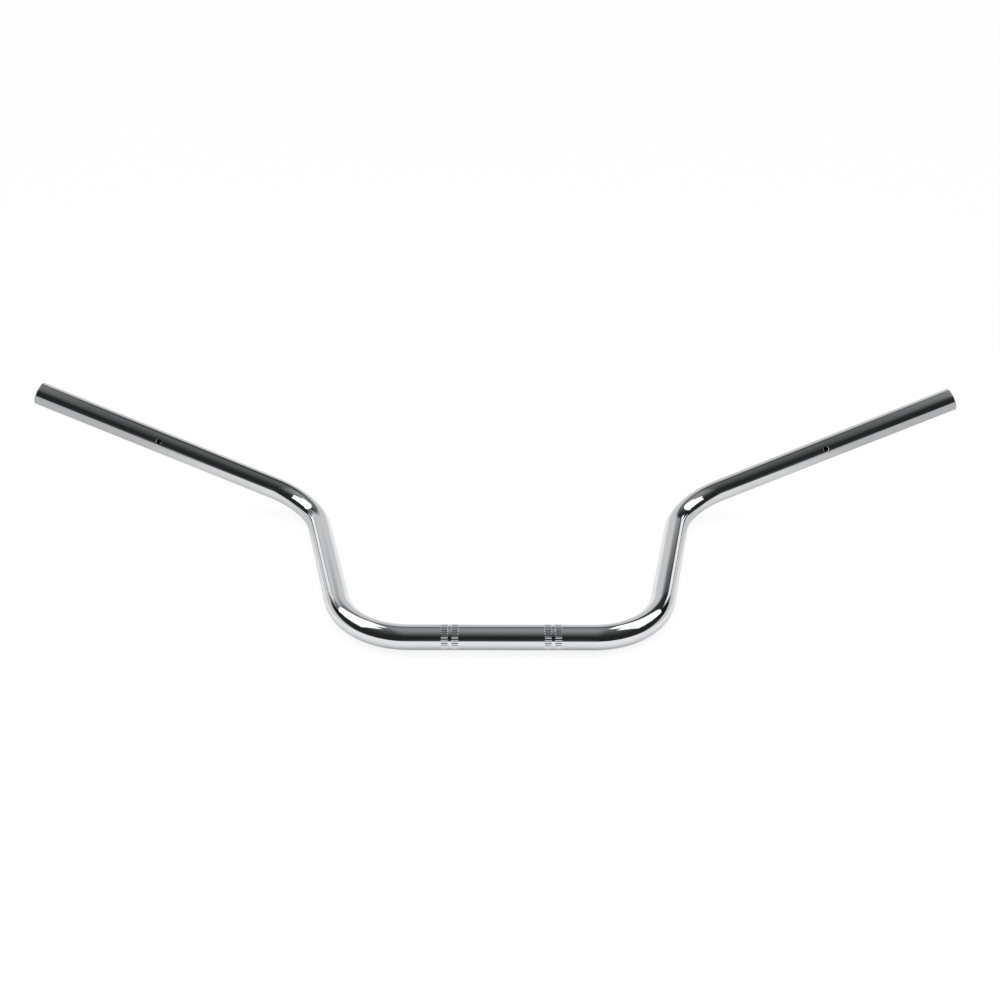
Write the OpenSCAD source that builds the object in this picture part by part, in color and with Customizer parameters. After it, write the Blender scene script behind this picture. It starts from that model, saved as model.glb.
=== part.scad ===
// Motorcycle handlebar: one steel tube, cold bent in four places, knurled, drilled and chromed.
// The clamp section runs along X with its middle at the origin. The U of the bar lies flat
// in the XY plane, as it rests on a table, and the two grips lift out of it towards +Z.

/* [Tube] */
// Outside diameter, which every clamp, lever, switch and grip fits round
tube_d = 22.2; // [19:0.1:25.4]
// Wall thickness of the tube
tube_wall = 2; // [1.6:0.1:3]

/* [Clamp section and lower bends] */
// Length of the straight clamp section between the two lower bends
clamp_straight = 160; // [150:1:240]
// Centreline radius of each lower bend
lower_bend_r = 70; // [45:1:110]
// Angle of each lower bend
lower_bend_angle = 76; // [50:1:90]

/* [Risers and upper bends] */
// Length of each straight riser
riser_straight = 125; // [60:1:220]
// Centreline radius of each upper bend
upper_bend_r = 57; // [45:1:90]
// Angle of each upper bend
upper_bend_angle = 74; // [50:1:90]
// Turn of the upper bend out of the plane of the U, which lifts the grips
lift_turn = 25; // [0:1:50]

/* [Grips] */
// Length of each straight end, which carries the grip, the lever and the switch
grip_straight = 245; // [180:1:320]
// Chamfer round the outer edge of each end
rim_chamfer = 0.7; // [0.3:0.1:0.9]
// Chamfer round the mouth of the bore
mouth_chamfer = 0.5; // [0.3:0.1:0.6]

/* [Knurled bands] */
// Distance between the middles of the two clamp seats
clamp_spacing = 89; // [70:1:120]
// Width of one knurled band
band_w = 6; // [4:0.5:9]
// Plain ring between the two bands of a clamp seat
band_gap = 3; // [2:0.5:6]
// Number of grooves round a band
groove_count = 32; // [24:1:40]
// Width of a groove at the surface of the tube
groove_w = 1.2; // [0.6:0.1:1.4]
// Depth of a groove
groove_depth = 0.4; // [0.2:0.1:0.6]

/* [Switch holes] */
// Diameter of the holes that stop the switch housings from turning
switch_hole_d = 5; // [4:0.5:7]
// Distance of the left hole from the left end of the bar
left_hole_from_end = 123; // [90:1:150]
// Distance of the right hole from the right end of the bar
right_hole_from_end = 132; // [90:1:150]
// Turn of both holes from the inside of the upper bend towards the top of the grip
switch_hole_turn = 24; // [0:1:90]

/* [Hidden] */
$fn = 40;
tube_r = tube_d / 2;
bore_r = tube_r - tube_wall;
bend_x = clamp_straight / 2;
inner_band_x = clamp_spacing / 2 - band_gap / 2 - band_w;
outer_band_x = clamp_spacing / 2 + band_gap / 2;
outer_band_end = outer_band_x + band_w;
upper_plane = 180 - lift_turn;
// The wall of a bend is this much thicker, inside and out, than the wall of a straight
bend_swell = 0.05;
// Each straight runs this far into the wall of the bend that it meets
lap = 0.5;

// Section of the plain tube, or of a tube with a thicker wall
module tube_section(swell = 0) {
    difference() {
        circle(r = tube_r + swell);
        circle(r = bore_r - swell);
    }
}

// Section of a knurled band: the same tube with V grooves rolled into its surface
module band_section() {
    difference() {
        tube_section();
        for (i = [0 : groove_count - 1])
            rotate(i * 360 / groove_count)
                translate([tube_r, 0])
                    polygon([[-groove_depth, 0], [groove_depth, -groove_w], [groove_depth, groove_w]]);
    }
}

// Extrudes a section along +X, from one distance to another
module run(from, to) {
    translate([from, 0, 0])
        rotate([-90, 0, -90])
            linear_extrude(to - from)
                children();
}

// Bends the tube away from +X, in the plane of +Y turned by an angle round X, and carries what
// follows on past the bend. The section is turned back, which keeps its facets in line.
module bend(angle, radius, plane = 0) {
    rotate([plane, 0, 0])
        translate([0, radius, 0]) {
            rotate([0, 0, -90])
                rotate_extrude(angle = angle)
                    translate([radius, 0])
                        rotate(plane)
                            tube_section(bend_swell);
            rotate([0, 0, angle])
                translate([0, -radius, 0])
                    rotate([-plane, 0, 0])
                        children();
        }
}

// One knurled clamp seat, with the plain tube from it to the lower bend
module clamp_seat() {
    run(inner_band_x, inner_band_x + band_w) band_section();
    run(inner_band_x + band_w, outer_band_x) tube_section();
    run(outer_band_x, outer_band_end) band_section();
    run(outer_band_end, bend_x + lap) tube_section();
}

// The straight end of the bar, turned to a chamfer inside and out and drilled through one wall
module grip_end(hole_from_end) {
    difference() {
        rotate([-90, 0, -90])
            rotate_extrude()
                polygon([
                    [bore_r, -lap],
                    [tube_r, -lap],
                    [tube_r, grip_straight - rim_chamfer],
                    [tube_r - rim_chamfer, grip_straight],
                    [bore_r + mouth_chamfer, grip_straight],
                    [bore_r, grip_straight - mouth_chamfer]
                ]);
        translate([grip_straight - hole_from_end, 0, 0])
            rotate([upper_plane - switch_hole_turn - 90, 0, 0])
                cylinder(d = switch_hole_d, h = tube_d);
    }
}

// Everything on one side of the plain middle stretch, bent in the order of the bending machine
module side(hole_from_end) {
    clamp_seat();
    translate([bend_x, 0, 0])
        bend(lower_bend_angle, lower_bend_r) {
            run(-lap, riser_straight + lap) tube_section();
            translate([riser_straight, 0, 0])
                bend(upper_bend_angle, upper_bend_r, upper_plane)
                    grip_end(hole_from_end);
        }
}

module handlebar() {
    color("silver") {
        run(-inner_band_x, inner_band_x) tube_section();
        side(right_hole_from_end);
        mirror([1, 0, 0]) side(left_hole_from_end);
    }
}

handlebar();
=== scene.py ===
# %% [markdown]
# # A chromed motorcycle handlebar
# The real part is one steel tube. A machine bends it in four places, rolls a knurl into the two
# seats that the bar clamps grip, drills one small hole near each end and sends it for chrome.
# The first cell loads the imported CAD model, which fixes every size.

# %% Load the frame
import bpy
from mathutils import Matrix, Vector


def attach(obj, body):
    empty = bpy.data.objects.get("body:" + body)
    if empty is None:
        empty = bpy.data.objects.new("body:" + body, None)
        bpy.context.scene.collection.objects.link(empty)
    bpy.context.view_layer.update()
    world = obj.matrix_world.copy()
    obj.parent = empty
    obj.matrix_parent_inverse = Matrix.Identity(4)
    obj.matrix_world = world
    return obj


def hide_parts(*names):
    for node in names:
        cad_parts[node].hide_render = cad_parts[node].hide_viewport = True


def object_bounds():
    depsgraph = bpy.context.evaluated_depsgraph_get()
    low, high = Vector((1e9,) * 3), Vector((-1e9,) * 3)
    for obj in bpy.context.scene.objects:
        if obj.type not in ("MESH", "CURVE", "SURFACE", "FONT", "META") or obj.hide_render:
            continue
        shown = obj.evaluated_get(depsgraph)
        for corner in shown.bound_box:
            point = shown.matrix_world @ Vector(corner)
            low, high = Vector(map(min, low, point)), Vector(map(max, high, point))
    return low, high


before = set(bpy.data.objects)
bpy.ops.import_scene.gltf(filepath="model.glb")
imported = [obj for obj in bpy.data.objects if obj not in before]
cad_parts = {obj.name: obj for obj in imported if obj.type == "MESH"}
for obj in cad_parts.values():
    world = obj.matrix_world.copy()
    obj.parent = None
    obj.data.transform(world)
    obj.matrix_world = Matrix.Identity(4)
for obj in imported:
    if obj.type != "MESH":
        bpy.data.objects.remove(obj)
CAD_LOW, CAD_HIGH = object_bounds()
print("CAD box in mm:", [round(1000 * v, 2) for v in (*CAD_LOW, *CAD_HIGH)])

# %% [markdown]
# Blender works in metres and a tube bender thinks in millimetres, so one factor joins the two.
# These are the sizes of the real bar. They are the same ones that shape the CAD tube, because a
# mesh that stands for a CAD solid may add finish to it, and never changes its form.

# %% Sizes of the bar
import math

import bpy
import numpy as np
from mathutils import Matrix, Vector

MM = 0.001
TUBE_R = 11.1
BORE_R = 9.1
HALF_CLAMP = 80.0
LOWER_BEND = (70.0, 76.0)
RISER = 125.0
UPPER_BEND = (57.0, 74.0)
LIFT_TURN = 25.0
GRIP = 245.0
print("tube", 2 * TUBE_R, "mm, wall", TUBE_R - BORE_R, "mm")

# %% [markdown]
# A bending machine follows a short program: push the tube forward, bend it, turn it, and bend it
# again. The same program drawn as a line gives the middle of the tube. It could be drawn by hand
# as a Bezier curve, but then no bend would be a true arc. Chrome shows every error in an arc, so
# the line is worked out from the program, stretch by stretch.


# %% Write the bending program
def turned(vector, axis, degrees):
    """The vector turned round an axis of length 1."""
    a = math.radians(degrees)
    return (
        vector * math.cos(a)
        + np.cross(axis, vector) * math.sin(a)
        + axis * np.dot(axis, vector) * (1 - math.cos(a))
    )


def bending_program():
    """The stretches of the right half, from the middle out, as (kind, length, data) in mm."""
    place, along, inward = np.zeros(3), np.array([1.0, 0, 0]), np.array([0, 1.0, 0])
    stretches = []
    steps = ((HALF_CLAMP, LOWER_BEND, 0.0), (RISER, UPPER_BEND, 180.0 - LIFT_TURN), (GRIP, None, 0.0))
    for straight, bend, plane in steps:
        stretches.append(("straight", straight, (place, along, inward)))
        place = place + along * straight
        if bend is None:
            break
        radius, angle = bend
        side = turned(inward, along, plane)
        hinge = place + side * radius
        axis = np.cross(along, side)
        stretches.append(("bend", radius * math.radians(angle), (hinge, place, along, inward, axis, radius)))
        place = hinge + turned(place - hinge, axis, angle)
        along, inward = turned(along, axis, angle), turned(inward, axis, angle)
    return stretches


PROGRAM = bending_program()
HALF_LENGTH = sum(length for _, length, _ in PROGRAM)
print("the tube is", round(2 * HALF_LENGTH, 1), "mm long before it is bent")

# %% [markdown]
# Everything on the bar is placed by one number, as on the bending machine: its distance along the
# tube from the middle, less than zero on the left. This function walks the program to that distance
# and gives the place, the direction of the tube and the direction that points into the lower bend.
# The left half is the right half in a mirror.


# %% Find a place on the bar
def on_the_bar(distance):
    """Centre, direction and inward side of the tube at a distance along it from the middle."""
    remaining = abs(distance)
    for kind, length, data in PROGRAM:
        if remaining <= length + 1e-9 or data is PROGRAM[-1][2]:
            break
        remaining -= length
    if kind == "straight":
        place, along, inward = data
        centre = place + along * remaining
    else:
        hinge, start, along, inward, axis, radius = data
        degrees = math.degrees(remaining / radius)
        centre = hinge + turned(start - hinge, axis, degrees)
        along, inward = turned(along, axis, degrees), turned(inward, axis, degrees)
    if distance < 0:
        flip = np.array([-1.0, 1, 1])
        centre, along, inward = centre * flip, along * -flip, inward * flip
    return centre, along, inward


print("right end at", on_the_bar(HALF_LENGTH)[0].round(1), "mm")

# %% [markdown]
# The surface is a chain of rings, much as a lathe turns a profile. Each ring has a distance along
# the tube, a radius, and a number that says how deep the knurl is there. Rings lie 2 degrees apart
# in the bends and are few along the straights, where one long facet is already exact. Some stand
# beside each switch hole, so that the drill meets short faces.

# %% Mark the rings of the plain tube
BEND_STEP = math.radians(2.0)
STRAIGHT_MARKS = [20.0, 65.0, 74.0, 200.0, 240.0, 262.0]
LEFT_HOLE_FROM_END = 123.0
RIGHT_HOLE_FROM_END = 132.0
BESIDE_A_HOLE = (-8.0, -4.0, 0.0, 4.0, 8.0)

marks = [0.0]
travelled = 0.0
for kind, length, data in PROGRAM:
    if kind == "bend":
        count = round(length / data[5] / BEND_STEP)
        marks += list(np.linspace(travelled, travelled + length, count + 1))
    travelled += length
marks += STRAIGHT_MARKS
plain = sorted({round(m, 6) for m in marks} | {round(-m, 6) for m in marks})
left_hole = -(HALF_LENGTH - LEFT_HOLE_FROM_END)
right_hole = HALF_LENGTH - RIGHT_HOLE_FROM_END
plain += [hole + off for hole in (left_hole, right_hole) for off in BESIDE_A_HOLE]
outside = {round(m, 6): (TUBE_R, 0.0) for m in plain}
print(len(outside), "rings on the plain tube")

# %% [markdown]
# A clamp seat is two knurled bands with a plain ring between them. The wheel that rolls them leaves
# grooves that run out at both ends of a band, and pushes up a burr of a hundredth of a millimetre
# or two beside them. Eight rings for each band draw both.

# %% Add the rings of the four knurled bands
BAND_W = 6.0
BAND_GAP = 3.0
CLAMP_SPACING = 89.0
RUN_OUT = 0.35
RUN_OUT_CUT = 0.55
BURR = 0.015
BURR_EDGE = 0.05

seat = CLAMP_SPACING / 2
for middle in (-seat, seat):
    for start in (middle - BAND_GAP / 2 - BAND_W, middle + BAND_GAP / 2):
        end = start + BAND_W
        for at, radius, knurl in (
            (start - RUN_OUT, TUBE_R, 0),
            (start - BURR_EDGE, TUBE_R + BURR, 0),
            (start + RUN_OUT / 2, TUBE_R + BURR, RUN_OUT_CUT),
            (start + RUN_OUT, TUBE_R + BURR / 2, 1),
            (end - RUN_OUT, TUBE_R + BURR / 2, 1),
            (end - RUN_OUT / 2, TUBE_R + BURR, RUN_OUT_CUT),
            (end + BURR_EDGE, TUBE_R + BURR, 0),
            (end + RUN_OUT, TUBE_R, 0),
        ):
            outside[round(at, 6)] = (radius, knurl)
print(len(outside), "rings with the knurled bands")

# %% [markdown]
# The chain runs along the outside from left to right, turns round the rim, and comes back through
# the bore, so it closes on itself as the real wall does. A turned chamfer has no knife edge, so
# every corner of the rim is two rings that soften it.

# %% Turn the chain round the rims
RIM = 0.7
MOUTH = 0.5
EDGE_SOFT = 0.12
END_MARGIN = 2.0

rim = (
    (-RIM - EDGE_SOFT, TUBE_R),
    (-RIM + EDGE_SOFT, TUBE_R - EDGE_SOFT),
    (-EDGE_SOFT, TUBE_R - RIM + EDGE_SOFT),
    (0.0, TUBE_R - RIM - EDGE_SOFT),
    (0.0, BORE_R + MOUTH + EDGE_SOFT),
    (-EDGE_SOFT, BORE_R + MOUTH - EDGE_SOFT),
    (-MOUTH + EDGE_SOFT, BORE_R + EDGE_SOFT),
    (-MOUTH - EDGE_SOFT, BORE_R),
)
outward_marks = [at for at in sorted(outside) if abs(at) < HALF_LENGTH - END_MARGIN]
bore_marks = [at for at in sorted(plain, reverse=True) if abs(at) < HALF_LENGTH - END_MARGIN]
rings = [(at, *outside[at]) for at in outward_marks]
rings += [(HALF_LENGTH + off, radius, 0.0) for off, radius in rim]
rings += [(at, BORE_R, 0.0) for at in bore_marks]
rings += [(-HALF_LENGTH - off, radius, 0.0) for off, radius in reversed(rim)]
rings.append(rings[0])
print(len(rings), "rings, of which", len(outward_marks), "lie along the outside")

# %% [markdown]
# A mesh of loose points can carry this plan into Geometry Nodes: one point for a ring, with the
# ring's sideways and upward directions, its radius and its knurl depth as named attributes.

# %% Store the plan as points with attributes
centres, sideways, upward = [], [], []
for at, _, _ in rings:
    centre, along, inward = on_the_bar(at)
    centres.append(centre * MM)
    sideways.append(-inward)
    upward.append(np.cross(along, -inward))
plan_mesh = bpy.data.meshes.new("ring_plan")
plan_mesh.from_pydata([tuple(c) for c in centres], [], [])
for name, values in (("sideways", sideways), ("upward", upward)):
    field = plan_mesh.attributes.new(name, "FLOAT_VECTOR", "POINT")
    field.data.foreach_set("vector", np.array(values, np.float32).ravel())
for name, column, scale in (("ring_radius", 1, MM), ("knurl", 2, 1.0)):
    field = plan_mesh.attributes.new(name, "FLOAT", "POINT")
    field.data.foreach_set("value", np.array([ring[column] * scale for ring in rings], np.float32))
handlebar = bpy.data.objects.new("handlebar_chromed", plan_mesh)
bpy.context.scene.collection.objects.link(handlebar)
print("plan of", len(plan_mesh.vertices), "points")

# %% [markdown]
# Every node tree below is built by the same four small helpers: one links two sockets, one makes a
# node and fills its inputs, one does a sum, and one maps a range of numbers to another.


# %% Helpers for node trees
def link(tree, source, target):
    tree.links.new(source, target)


def make(tree, kind, operation=None, **inputs):
    """A new node. The key i0 fills input 0 and so on, with a number or from another socket."""
    node = tree.nodes.new(kind)
    if operation:
        node.operation = operation
    for key, value in inputs.items():
        socket = node.inputs[int(key[1:])]
        if hasattr(value, "is_linked"):
            link(tree, value, socket)
        else:
            socket.default_value = value
    return node


def math_node(tree, operation, a, b=0.0):
    return make(tree, "ShaderNodeMath", operation, i0=a, i1=b).outputs[0]


def map_range(tree, value, low, high, at_low, at_high, interpolation="LINEAR"):
    """What is at_low up to low and at_high from high on, with a ramp between them."""
    node = make(tree, "ShaderNodeMapRange", i0=value, i1=low, i2=high, i3=at_low, i4=at_high)
    node.interpolation_type = interpolation
    return node.outputs[0]


print("helpers: link, make, math_node, map_range")

# %% [markdown]
# The knurl is rolled in by two hard wheels while the tube turns: 32 V grooves along the tube, cut
# in four short bands. A pattern that repeats round a ring follows a rule, so the nodes make it.
# They start from a flat grid with a row for each ring and four columns for each groove, and one
# more column to close on the first.

# %% Start the node tree that rolls the tube
GROOVES = 32
GROOVE_W = 1.2
GROOVE_DEPTH = 0.4
COLUMNS_PER_GROOVE = 4

tree = bpy.data.node_groups.new("rolled_tube", "GeometryNodeTree")
interface = tree.interface
interface.new_socket("Rings", in_out="INPUT", socket_type="NodeSocketGeometry")
socket_ids = {}
for name, kind in (
    ("Grooves", "NodeSocketInt"),
    ("Groove Half Angle", "NodeSocketFloat"),
    ("Groove Depth", "NodeSocketFloat"),
    ("Material", "NodeSocketMaterial"),
):
    socket_ids[name] = interface.new_socket(name, in_out="INPUT", socket_type=kind).identifier
interface.new_socket("Tube", in_out="OUTPUT", socket_type="NodeSocketGeometry")
given = tree.nodes.new("NodeGroupInput").outputs
result = tree.nodes.new("NodeGroupOutput")


def tube_math(operation, a, b=0.0):
    return math_node(tree, operation, a, b)


size = tree.nodes.new("GeometryNodeAttributeDomainSize")
link(tree, given["Rings"], size.inputs["Geometry"])
columns = tube_math("ADD", tube_math("MULTIPLY", given["Grooves"], COLUMNS_PER_GROOVE), 1)
grid = tree.nodes.new("GeometryNodeMeshGrid")
link(tree, size.outputs["Point Count"], grid.inputs["Vertices X"])
link(tree, columns, grid.inputs["Vertices Y"])
print("the tree starts with", len(tree.nodes), "nodes")

# %% [markdown]
# The index of a grid point gives its row and its column, and the column gives the angle round the
# tube. Phases 0, 1 and 2 are a groove's first lip, its bottom and its second lip. Phase 3 is the
# middle of the land between two grooves. Half a step is added before each division, because a whole
# number that comes out a hair too small would round down to the wrong row.

# %% Work out row and angle for every grid point
HALF_STEP = 0.5
BOTTOM_PHASE = 1.0
LAST_LIP_PHASE = 2.0

index = tree.nodes.new("GeometryNodeInputIndex").outputs[0]
row = tube_math("FLOOR", tube_math("DIVIDE", tube_math("ADD", index, HALF_STEP), columns))
column = tube_math("SUBTRACT", index, tube_math("MULTIPLY", row, columns))
stepped = tube_math("DIVIDE", tube_math("ADD", column, HALF_STEP), COLUMNS_PER_GROOVE)
groove = tube_math("FLOOR", stepped)
phase = tube_math("SUBTRACT", column, tube_math("MULTIPLY", groove, COLUMNS_PER_GROOVE))
pitch = tube_math("DIVIDE", 2 * math.pi, given["Grooves"])
from_bottom = tube_math("SUBTRACT", tube_math("MINIMUM", phase, LAST_LIP_PHASE), BOTTOM_PHASE)
lip_angle = tube_math("MULTIPLY", from_bottom, given["Groove Half Angle"])
on_land = tube_math("GREATER_THAN", phase, LAST_LIP_PHASE + HALF_STEP)
land_angle = tube_math("SUBTRACT", tube_math("MULTIPLY", pitch, 0.5), given["Groove Half Angle"])
in_its_pitch = tube_math("ADD", lip_angle, tube_math("MULTIPLY", on_land, land_angle))
angle = tube_math("ADD", tube_math("MULTIPLY", groove, pitch), in_its_pitch)
print("angle worked out by", len(tree.nodes), "nodes")

# %% [markdown]
# The row picks the ring out of the plan with Sample Index. At the bottom of a groove the radius is
# smaller by the groove's depth, times the ring's own knurl number.

# %% Read each ring's radius from the plan
PHASE_TOLERANCE = 0.25


def at_its_row(value, data_type):
    """The value that the plan's point for this row has."""
    sample = tree.nodes.new("GeometryNodeSampleIndex")
    sample.data_type = data_type
    link(tree, given["Rings"], sample.inputs["Geometry"])
    link(tree, value, sample.inputs["Value"])
    link(tree, row, sample.inputs["Index"])
    return sample.outputs["Value"]


def from_plan(name, data_type):
    read = tree.nodes.new("GeometryNodeInputNamedAttribute")
    read.data_type = data_type
    read.inputs["Name"].default_value = name
    return at_its_row(read.outputs["Attribute"], data_type)


at_bottom = tube_math("COMPARE", phase, BOTTOM_PHASE)
at_bottom.node.inputs[2].default_value = PHASE_TOLERANCE
knurled = tube_math("MULTIPLY", at_bottom, from_plan("knurl", "FLOAT"))
cut = tube_math("MULTIPLY", knurled, given["Groove Depth"])
radius = tube_math("SUBTRACT", from_plan("ring_radius", "FLOAT"), cut)
print("radius worked out by", len(tree.nodes), "nodes")

# %% [markdown]
# Cosine and sine of the angle, times the ring's two directions, lift each point off the middle
# line. Set Position rolls the grid up round the tube, and Merge by Distance closes it.

# %% Place the points, close the tube and set its material
SEAM_DISTANCE = 1e-6

offset = at_its_row(tree.nodes.new("GeometryNodeInputPosition").outputs[0], "FLOAT_VECTOR")
for turn, direction in (("COSINE", "sideways"), ("SINE", "upward")):
    reach = tube_math("MULTIPLY", tube_math(turn, angle), radius)
    arm = tree.nodes.new("ShaderNodeVectorMath")
    arm.operation = "SCALE"
    link(tree, from_plan(direction, "FLOAT_VECTOR"), arm.inputs[0])
    link(tree, reach, arm.inputs["Scale"])
    offset = make(tree, "ShaderNodeVectorMath", "ADD", i0=offset, i1=arm.outputs[0]).outputs[0]
roll = tree.nodes.new("GeometryNodeSetPosition")
link(tree, grid.outputs["Mesh"], roll.inputs["Geometry"])
link(tree, offset, roll.inputs["Position"])
close = tree.nodes.new("GeometryNodeMergeByDistance")
link(tree, roll.outputs[0], close.inputs["Geometry"])
close.inputs["Distance"].default_value = SEAM_DISTANCE
smooth = tree.nodes.new("GeometryNodeSetShadeSmooth")
link(tree, close.outputs[0], smooth.inputs["Geometry"])
realize = tree.nodes.new("GeometryNodeRealizeInstances")
link(tree, smooth.outputs[0], realize.inputs[0])
finish_coat = tree.nodes.new("GeometryNodeSetMaterial")
link(tree, realize.outputs[0], finish_coat.inputs["Geometry"])
link(tree, given["Material"], finish_coat.inputs["Material"])
link(tree, finish_coat.outputs[0], result.inputs["Tube"])
print("node tree of", len(tree.nodes), "nodes")

# %% [markdown]
# Chrome plate has little colour of its own, and what is seen in it is the room. Its colour is a
# light neutral grey, its roughness is low and hardly varies, and a very faint long ripple stands
# for the tube under the plate, which no polishing makes quite flat. The plating bath barely
# reaches into the tube, so the bore stays a duller grey. The cut ends get half of that grey and
# roughness, and there the darker grey is painted shade for a dark rim. An attribute carries both.

# %% Make the chrome
PLATE_TINT = (0.79, 0.81, 0.82, 1)
BORE_TINT = (0.30, 0.30, 0.30, 1)
PLATE_ROUGHNESS = (0.025, 0.06)
BORE_ROUGHNESS = 0.38
RIPPLE_SCALE, RIPPLE_DETAIL = 45.0, 1.0
RIPPLE_STRENGTH, RIPPLE_HEIGHT = 0.05, 0.0006
BLOOM_SCALE, BLOOM_DETAIL = 160.0, 4.0

chrome = bpy.data.materials.new("polished_chrome")
chrome.use_nodes = True
plate = chrome.node_tree
surface = plate.nodes["Principled BSDF"]
surface.inputs["Metallic"].default_value = 1.0
here = plate.nodes.new("ShaderNodeTexCoord").outputs["Object"]


def noise(scale, detail):
    texture = plate.nodes.new("ShaderNodeTexNoise")
    texture.inputs["Scale"].default_value = scale
    texture.inputs["Detail"].default_value = detail
    link(plate, here, texture.inputs["Vector"])
    return texture.outputs["Fac"]


bump = plate.nodes.new("ShaderNodeBump")
bump.inputs["Strength"].default_value = RIPPLE_STRENGTH
bump.inputs["Distance"].default_value = RIPPLE_HEIGHT
link(plate, noise(RIPPLE_SCALE, RIPPLE_DETAIL), bump.inputs["Height"])
link(plate, bump.outputs["Normal"], surface.inputs["Normal"])
# The attribute is 1 in the bore and 0.5 on the cut ends, where the darker grey is painted shade.
bore_and_rim_shade = plate.nodes.new("ShaderNodeAttribute")
bore_and_rim_shade.attribute_name = "bore_and_rim_shade"
shine = map_range(plate, noise(BLOOM_SCALE, BLOOM_DETAIL), 0.0, 1.0, *PLATE_ROUGHNESS)
dull = math_node(plate, "MULTIPLY", bore_and_rim_shade.outputs["Fac"], BORE_ROUGHNESS)
link(plate, math_node(plate, "ADD", shine, dull), surface.inputs["Roughness"])
tint = plate.nodes.new("ShaderNodeMix")
tint.data_type = "RGBA"
tint.inputs["A"].default_value = PLATE_TINT
tint.inputs["B"].default_value = BORE_TINT
link(plate, bore_and_rim_shade.outputs["Fac"], tint.inputs["Factor"])
link(plate, tint.outputs["Result"], surface.inputs["Base Color"])
print("chrome:", len(plate.nodes), "nodes")

# %% [markdown]
# The modifier gets its sizes through the sockets' identifiers, and not their names. The evaluated
# object becomes a plain mesh, because the export knows nothing of modifiers on a finished piece.

# %% Roll the tube
modifier = handlebar.modifiers.new("rolled_tube", "NODES")
modifier.node_group = tree
modifier[socket_ids["Grooves"]] = GROOVES
modifier[socket_ids["Groove Half Angle"]] = math.asin(GROOVE_W / 2 / TUBE_R)
modifier[socket_ids["Groove Depth"]] = GROOVE_DEPTH * MM
modifier[socket_ids["Material"]] = chrome


def apply_modifiers(piece):
    """Puts the piece's evaluated shape in its mesh, and takes the modifiers off."""
    graph = bpy.context.evaluated_depsgraph_get()
    plain_mesh = bpy.data.meshes.new_from_object(piece.evaluated_get(graph), depsgraph=graph)
    piece.modifiers.clear()
    piece.data = plain_mesh


apply_modifiers(handlebar)
print("rolled mesh:", len(handlebar.data.vertices), "points,", len(handlebar.data.polygons), "faces")

# %% [markdown]
# Each grip has one 5 mm hole for the peg that keeps the switch housing from turning. The drill
# goes through one wall only, and its lip is broken with a light countersink. A dark disc on the
# tube would look like a hole from far off, but light has to fall into the real one. So a turned
# cutter that starts on the middle line does both jobs, as in the workshop. This cell makes it.

# %% Turn the drill
HOLE_R = 2.5
LIP = 0.15
LIP_CLEARANCE = 0.02
DRILL_PAST = 3.0
AROUND = 48

drill_profile = (
    (HOLE_R, 0.0),
    (HOLE_R, TUBE_R - LIP),
    (HOLE_R + LIP, TUBE_R + LIP_CLEARANCE),
    (HOLE_R + LIP, TUBE_R + DRILL_PAST),
)


def drill_mesh(name, centre, along, outward):
    """The drill's profile turned round the outward direction, from the middle line out."""
    across = np.cross(outward, along)
    points, faces = [], []
    for r, h in drill_profile:
        for k in range(AROUND):
            a = 2 * math.pi * k / AROUND
            spoke = along * math.cos(a) + across * math.sin(a)
            points.append(tuple((centre + outward * h + spoke * r) * MM))
    top = (len(drill_profile) - 1) * AROUND
    for low in range(0, top, AROUND):
        for k in range(AROUND):
            k2 = (k + 1) % AROUND
            faces.append((low + k, low + k2, low + AROUND + k2, low + AROUND + k))
    faces.append(tuple(reversed(range(AROUND))))
    faces.append(tuple(top + k for k in range(AROUND)))
    turned_mesh = bpy.data.meshes.new(name)
    turned_mesh.from_pydata(points, [], faces)
    return turned_mesh


print("drill of", len(drill_profile), "steps,", 2 * HOLE_R, "mm")

# %% [markdown]
# Both holes are turned 24 degrees from the inside of the upper bend towards the top of the grip. A
# Boolean modifier takes the drill away from the tube, and the drill itself is deleted afterwards.

# %% Drill the two switch holes
HOLE_TURN = 24.0

for name, distance in (("left", left_hole), ("right", right_hole)):
    centre, along, inward = on_the_bar(distance)
    outward = turned(inward, along, 180.0 - LIFT_TURN - HOLE_TURN)
    drill = bpy.data.objects.new("drill_" + name, drill_mesh("drill_" + name, centre, along, outward))
    bpy.context.scene.collection.objects.link(drill)
    cutter = handlebar.modifiers.new("drill", "BOOLEAN")
    cutter.operation = "DIFFERENCE"
    cutter.solver = "EXACT"
    cutter.object = drill
    apply_modifiers(handlebar)
    bpy.data.objects.remove(drill)
    print(name, "hole drilled,", round(HALF_LENGTH - abs(distance), 1), "mm from its end")

# %% [markdown]
# Chrome is a mirror, so what counts is the direction of the surface, more than its facets. Smooth
# shading guesses that direction from the faces around a point, and guesses badly beside an edge.
# The true direction is known: on a tube it points straight away from the tube's middle line. This
# cell finds, for every point of the mesh, the nearest point of that line, and from it the distance
# and the direction of the spoke between the two.

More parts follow.
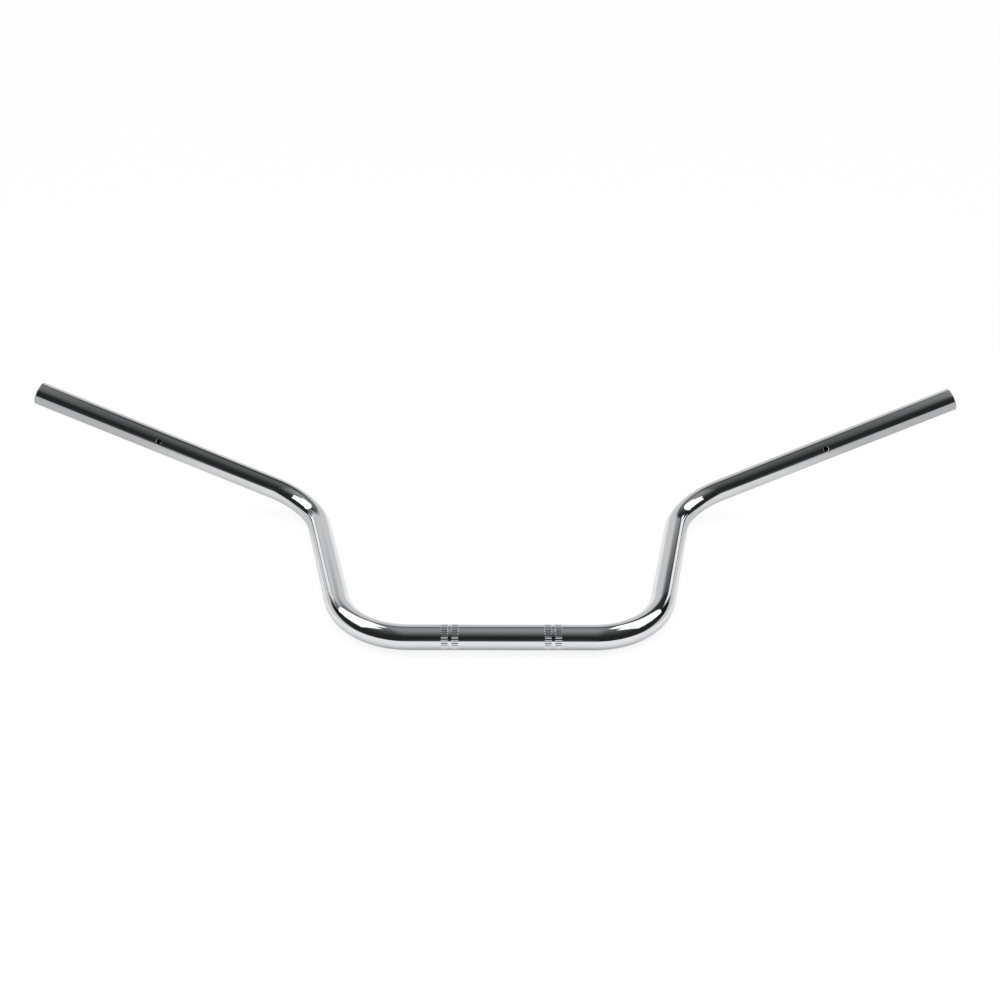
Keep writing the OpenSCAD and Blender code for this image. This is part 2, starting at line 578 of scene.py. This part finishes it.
# %% Find each point's spoke from the middle line
mesh = handlebar.data
place = np.zeros(len(mesh.vertices) * 3, np.float64)
mesh.vertices.foreach_get("co", place)
place = place.reshape(-1, 3) / MM
to_right_half = np.where(place[:, :1] < 0, [-1, 1, 1], [1, 1, 1])
mirrored = place * to_right_half
from_line = np.full(len(place), np.inf)
foot = np.zeros_like(place)
for kind, length, data in PROGRAM:
    if kind == "straight":
        start, along, _ = data
        reach = np.clip((mirrored - start) @ along, 0, length)
        near = start + reach[:, None] * along
    else:
        hinge, start, along, _, axis, bend_r = data
        flat = mirrored - hinge - ((mirrored - hinge) @ axis)[:, None] * axis
        spoke = (start - hinge) / bend_r
        swing = np.clip(np.arctan2(flat @ along, flat @ spoke), 0, length / bend_r)
        near = hinge + bend_r * (np.cos(swing)[:, None] * spoke + np.sin(swing)[:, None] * along)
    gap = np.linalg.norm(mirrored - near, axis=1)
    closer = gap < from_line
    from_line[closer] = gap[closer]
    foot[closer] = near[closer]
foot *= to_right_half
spokes = (place - foot) / np.maximum(from_line, 1e-6)[:, None]
print("points lie", round(from_line.min(), 2), "to", round(from_line.max(), 2), "mm from the middle line")

# %% [markdown]
# Each corner of a wall face now gets its spoke as a custom normal. A rolled groove has no sharp
# faces, so its normals lean part of the way towards the spoke. The cut ends and the drilled holes
# keep their own normals. The same loop marks the bore, which the chrome bath reaches badly, and
# the cut ends at half, where the darker grey is painted shade for a dark rim at the tips.

# %% Give the walls their exact normals
WALL_TILT = 0.985
WALL_SLACK = 0.02
GROOVE_TILT = 0.6
GROOVE_LEAN = 0.38
GROOVE_SLACK = 0.1
CLEARANCE = 0.004
END_ZONE = 14.0
# Half of the bore's darker grey on the cut ends is painted shade for a dark rim.
CUT_END_PAINTED_SHADE = 0.5

near_the_end = CAD_HIGH[0] / MM - END_ZONE
normals = np.zeros((len(mesh.loops), 3))
bore_dullness_and_rim_shade = np.zeros(len(mesh.polygons))
for face in mesh.polygons:
    ring = list(face.vertices)
    facing = np.array(face.normal)
    tilt = spokes[ring] @ facing
    r = from_line[ring]
    corners = slice(face.loop_start, face.loop_start + face.loop_total)
    if tilt.min() > WALL_TILT and r.min() > TUBE_R - WALL_SLACK and r.max() < TUBE_R + CLEARANCE:
        normals[corners] = spokes[ring]
    elif tilt.max() < -WALL_TILT and r.max() < BORE_R + CLEARANCE:
        normals[corners] = -spokes[ring]
        bore_dullness_and_rim_shade[face.index] = 1.0
    elif tilt.min() > GROOVE_TILT and r.min() > TUBE_R - GROOVE_DEPTH - GROOVE_SLACK:
        leaning = (1 - GROOVE_LEAN) * facing + GROOVE_LEAN * spokes[ring]
        normals[corners] = leaning / np.linalg.norm(leaning, axis=1)[:, None]
    else:
        normals[corners] = facing
        # The cut ends get half of the bore's grey: painted shade for a dark rim at the tips.
        if abs(place[ring[0], 0]) > near_the_end:
            bore_dullness_and_rim_shade[face.index] = CUT_END_PAINTED_SHADE
mesh.normals_split_custom_set([tuple(n) for n in normals])
bore_and_rim_shade_field = mesh.attributes.new("bore_and_rim_shade", "FLOAT", "FACE")
bore_and_rim_shade_field.data.foreach_set("value", bore_dullness_and_rim_shade.astype(np.float32))
in_the_bore = int((bore_dullness_and_rim_shade == 1).sum())
print(in_the_bore, "faces in the bore,", int((bore_dullness_and_rim_shade > 0).sum()) - in_the_bore, "on the cut ends")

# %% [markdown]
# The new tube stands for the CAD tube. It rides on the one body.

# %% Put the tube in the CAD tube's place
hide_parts("handlebar")
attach(handlebar, "root")
bpy.context.view_layer.update()
print("the tube has", len(mesh.polygons), "faces")

# %% [markdown]
# The bar lies on a pale table, which is only there for the picture, so it is left out of the
# part. Four corners make it, at the height of the lowest point of the CAD tube.

# %% Lay the table
TABLE_HALF = 6.0

table_z = CAD_LOW[2]
edge = [(sx * TABLE_HALF, sy * TABLE_HALF, table_z) for sx, sy in ((-1, -1), (1, -1), (1, 1), (-1, 1))]
table_mesh = bpy.data.meshes.new("table")
table_mesh.from_pydata(edge, [], [(0, 1, 2, 3)])
table = bpy.data.objects.new("table", table_mesh)
bpy.context.scene.collection.objects.link(table)
print("table at z =", round(table_z / MM, 2), "mm")

# %% [markdown]
# The table is white paper. What the chrome sees of it is a little darker than what the eye sees,
# and darker again in two steps towards the tips of the bar, where a studio's light falls off. Each
# step is where it starts, where it ends, both in metres from the middle, and what it takes away.

# %% Find the paper's tone
FULL_TONE = 0.9
CHROME_LOSS = 0.12
LOSSES = ((0.20, 0.28, 0.12), (0.33, 0.42, 0.18))

paper = bpy.data.materials.new("white_paper")
paper.use_nodes = True
sheet = paper.node_tree
sheet.nodes.remove(sheet.nodes["Principled BSDF"])
seen_by = sheet.nodes.new("ShaderNodeLightPath").outputs
place_on_it = make(sheet, "ShaderNodeSeparateXYZ", i0=sheet.nodes.new("ShaderNodeTexCoord").outputs["Object"])
from_middle = math_node(sheet, "ABSOLUTE", place_on_it.outputs[0])
loss = CHROME_LOSS
for start, end, amount in LOSSES:
    loss = math_node(sheet, "ADD", loss, map_range(sheet, from_middle, start, end, 0.0, amount))
loss = math_node(sheet, "MULTIPLY", loss, seen_by["Is Glossy Ray"])
tone = math_node(sheet, "SUBTRACT", FULL_TONE, loss)
print("tone worked out by", len(sheet.nodes), "nodes")

# %% [markdown]
# Most of what the camera sees of the paper is a steady glow, which makes the background white
# without more light on the bar. The rest is a plain matt surface, which still darkens under the
# tube and so keeps the contact shadow. In the chrome it is the other way round.

# %% Mix the paper's glow and its matt surface
GLOW_FOR_THE_CAMERA = 0.8
GLOW_IN_THE_CHROME = 0.1
GLOW_OVER_TONE = 0.14

tone_colour = make(sheet, "ShaderNodeCombineColor", i0=tone, i1=tone, i2=tone)
matt = make(sheet, "ShaderNodeBsdfDiffuse", i0=tone_colour.outputs[0])
glow = sheet.nodes.new("ShaderNodeEmission")
link(sheet, math_node(sheet, "ADD", tone, GLOW_OVER_TONE), glow.inputs["Strength"])
direct = math_node(sheet, "ADD", seen_by["Is Camera Ray"], seen_by["Is Transmission Ray"])
direct_share = math_node(sheet, "MULTIPLY", direct, GLOW_FOR_THE_CAMERA)
chrome_share = math_node(sheet, "MULTIPLY", seen_by["Is Glossy Ray"], GLOW_IN_THE_CHROME)
share = math_node(sheet, "ADD", direct_share, chrome_share)
mixed = make(sheet, "ShaderNodeMixShader", i0=share, i1=matt.outputs[0], i2=glow.outputs[0])
link(sheet, mixed.outputs[0], sheet.nodes["Material Output"].inputs["Surface"])
table_mesh.materials.append(paper)
print("paper:", len(sheet.nodes), "nodes")

# %% [markdown]
# A photographer lights chrome by what stands round it. A panorama picture could be wrapped round
# the scene, but then every mark on the tube would hang on a file. Here the world shader draws a
# small studio from the direction alone, so x, y and z are the parts of a direction of length 1: x
# to the right, y to the back and z up. A smooth ramp does all the edges.

# %% Start the room
world = bpy.data.worlds.new("studio_room")
bpy.context.scene.world = world
world.use_nodes = True
room = world.node_tree
room.nodes.clear()
split = make(room, "ShaderNodeSeparateXYZ", i0=room.nodes.new("ShaderNodeTexCoord").outputs["Generated"])
x, y, z = split.outputs[0], split.outputs[1], split.outputs[2]


def ramp(value, low, high, at_low=0.0, at_high=1.0):
    """A soft edge in the room, which rises from low to high unless it is told otherwise."""
    return map_range(room, value, low, high, at_low, at_high, "SMOOTHSTEP")


def room_math(operation, a, b=0.0):
    return math_node(room, operation, a, b)


def product(first, *others):
    for other in others:
        first = room_math("MULTIPLY", first, other)
    return first


print("the room starts with", len(room.nodes), "nodes")

# %% [markdown]
# Most of the studio is dark. The ceiling glows softly a little behind the zenith, less towards the
# sides, and least low down at the back, which draws a thin dark line along the top of each grip.
# A faint light low down, straight ahead and straight behind, keeps the darkest line of the clamp
# section from going black.

# %% Darken the room
GLOW_TOWARDS = (0.29, 0.957)
GLOW_SPREAD = 0.3
GLOW_POWER = 2.2
DARKEST = 0.022

toward_glow = room_math("ADD", product(y, GLOW_TOWARDS[0]), product(z, GLOW_TOWARDS[1]))
toward_glow = room_math("DIVIDE", room_math("SUBTRACT", toward_glow, GLOW_SPREAD), 1 - GLOW_SPREAD)
toward_glow = room_math("POWER", room_math("MAXIMUM", toward_glow, 0.0), GLOW_POWER)
sideward = room_math("ABSOLUTE", x)
less_at_the_sides = ramp(sideward, 0.12, 0.26, 0.28, 0.13)
ceiling = product(toward_glow, less_at_the_sides)
more_at_the_sides = ramp(sideward, 0.08, 0.20, 0.25, 0.65)
low_back = product(ramp(z, 0.66, 0.92, 1.0, 0.0), ramp(y, 0.1, 0.3), more_at_the_sides)
dark_room = product(room_math("ADD", ceiling, DARKEST), room_math("SUBTRACT", 1.0, low_back))
skirting = product(ramp(z, 0.05, 0.32, 0.06, 0.0), ramp(sideward, 0.10, 0.24, 1.0, 0.0))
dark_room = room_math("ADD", dark_room, skirting)
print("the room now has", len(room.nodes), "nodes")

# %% [markdown]
# A low pale wall stands at the sides and rises towards the back. Behind the bar stands a pale
# panel, which is the broad grey band on the inner side of each riser. On both sides of it, past a
# darker gap, stands a narrow bright strip: the thin white line down each riser. The panel stands a
# little to the left, and its top slopes down to the right.

# %% Stand the pale pieces in the room
PANEL_SHIFT = 0.05
PANEL_HEIGHT, PANEL_SLOPE = 0.58, 0.24
PANEL_LEVEL = 0.66
PANEL_EDGE_LEVEL = 0.28
WALL_HEIGHT, WALL_SLOPE = 0.12, 0.3
WALL_LEVELS = (0.80, 0.50)

wall_top = room_math("ADD", product(y, WALL_SLOPE), WALL_HEIGHT)
wall = product(ramp(room_math("SUBTRACT", wall_top, z), -0.02, 0.03), ramp(z, -0.02, 0.30, *WALL_LEVELS))
aside = room_math("ABSOLUTE", room_math("ADD", x, PANEL_SHIFT))
panel_top = room_math("SUBTRACT", PANEL_HEIGHT, product(x, PANEL_SLOPE))
panel = product(
    ramp(room_math("SUBTRACT", panel_top, z), -0.12, 0.10, 0.0, PANEL_LEVEL),
    ramp(aside, 0.44, 0.53, 1.0, PANEL_EDGE_LEVEL),
    ramp(aside, 0.74, 0.78, 1.0, 0.0),
    ramp(y, 0.0, 0.1),
)
strip = product(
    ramp(sideward, 0.555, 0.575),
    ramp(sideward, 0.68, 0.70, 1.0, 0.0),
    ramp(z, 0.50, 0.60, 1.0, 0.0),
    ramp(y, 0.3, 0.4),
)
pale = room_math("MAXIMUM", wall, room_math("MAXIMUM", panel, strip))
print("the room now has", len(room.nodes), "nodes")

# %% [markdown]
# Matt surfaces get one plain level from the whole room, and the camera itself sees plain white.

# %% Hang the room round the bar
PLAIN_LEVEL = 0.9
WHITE = (1, 1, 1, 1)

seen_by = room.nodes.new("ShaderNodeLightPath").outputs
on_matt = product(seen_by["Is Diffuse Ray"], PLAIN_LEVEL)
not_matt = room_math("SUBTRACT", 1.0, seen_by["Is Diffuse Ray"])
in_the_chrome = product(room_math("MAXIMUM", dark_room, pale), not_matt)
level = room_math("ADD", in_the_chrome, on_matt)
drawn = make(room, "ShaderNodeBackground", i0=WHITE, i1=level).outputs[0]
white = make(room, "ShaderNodeBackground", i0=WHITE).outputs[0]
choose = make(room, "ShaderNodeMixShader", i0=seen_by["Is Camera Ray"], i1=drawn, i2=white)
link(room, choose.outputs[0], room.nodes.new("ShaderNodeOutputWorld").inputs["Surface"])
print("room of", len(room.nodes), "nodes")

# %% [markdown]
# Two softboxes stand on each side: a tall one far out, and a smaller one nearer and lower. They are
# the white spots on the bends. They stand close, so they can't be drawn in the world, which knows
# directions and no distances. Each is an area light, given by its name, its centre in metres, the
# way it faces, the direction of its long side, and the lengths of its long and its short side. The
# left ones are the right ones in a mirror, and the power follows from the size, so that all four
# look equally bright.

# %% Hang the softboxes
RADIANCE = 1.3
SOFTBOXES = (
    ("tall", (0.582, 0.365, 0.885), (-0.846, -0.477, -0.240), (-0.519, 0.631, 0.576), 0.905, 0.571),
    ("near", (0.423, 0.080, 0.501), (-0.960, -0.104, -0.259), (-0.277, 0.267, 0.923), 0.470, 0.311),
)

for name, centre, faces, lengthwise, long_side, short_side in SOFTBOXES:
    for side, sx in (("left", -1), ("right", 1)):
        lamp = bpy.data.lights.new(f"softbox_{name}_{side}", "AREA")
        lamp.shape = "RECTANGLE"
        lamp.size, lamp.size_y = long_side, short_side
        lamp.energy = RADIANCE * math.pi * long_side * short_side
        mirror = Vector((sx, 1, 1))
        behind = -(Vector(faces) * mirror).normalized()
        long_axis = Vector(lengthwise) * mirror
        long_axis = (long_axis - behind * long_axis.dot(behind)).normalized()
        turn = Matrix((long_axis, behind.cross(long_axis), behind)).transposed().to_4x4()
        softbox = bpy.data.objects.new(lamp.name, lamp)
        softbox.matrix_world = Matrix.Translation(Vector(centre) * mirror) @ turn
        softbox.visible_camera = False
        bpy.context.scene.collection.objects.link(softbox)
        print(softbox.name, round(lamp.energy, 3), "W")

# %% [markdown]
# The camera stands where the photographer stood: in front and above, a little to the left, with
# a lens of medium length. Its place was found by fitting the middle line of the tube to the photo.

# %% Set up the camera
DISTANCE = 0.9513
ELEVATION = 31.675
YAW = -1.42
ROLL = 1.016
SLIDE = (0.001137, -0.118666)
SENSOR_WIDTH = 36.0
LENS_IN_SENSOR_WIDTHS = 1.1

e, w, k = math.radians(ELEVATION), math.radians(YAW), math.radians(ROLL)
back = Vector((math.sin(w) * math.cos(e), -math.cos(w) * math.cos(e), math.sin(e)))
right = (-back).cross(Vector((0, 0, 1))).normalized()
up = right.cross(-back)
right, up = right * math.cos(k) + up * math.sin(k), up * math.cos(k) - right * math.sin(k)
spot = back * DISTANCE - right * SLIDE[0] - up * SLIDE[1]
camera = bpy.data.objects.new("camera", bpy.data.cameras.new("camera"))
camera.data.sensor_width = SENSOR_WIDTH
camera.data.lens = LENS_IN_SENSOR_WIDTHS * SENSOR_WIDTH
camera.data.clip_start, camera.data.clip_end = 0.01, 50
turn = Matrix((right, up, back)).transposed().to_4x4()
camera.matrix_world = Matrix.Translation(spot) @ turn
bpy.context.scene.collection.objects.link(camera)
bpy.context.scene.camera = camera
bpy.context.scene.view_settings.view_transform = "Standard"
print("camera at", [round(v, 3) for v in spot])
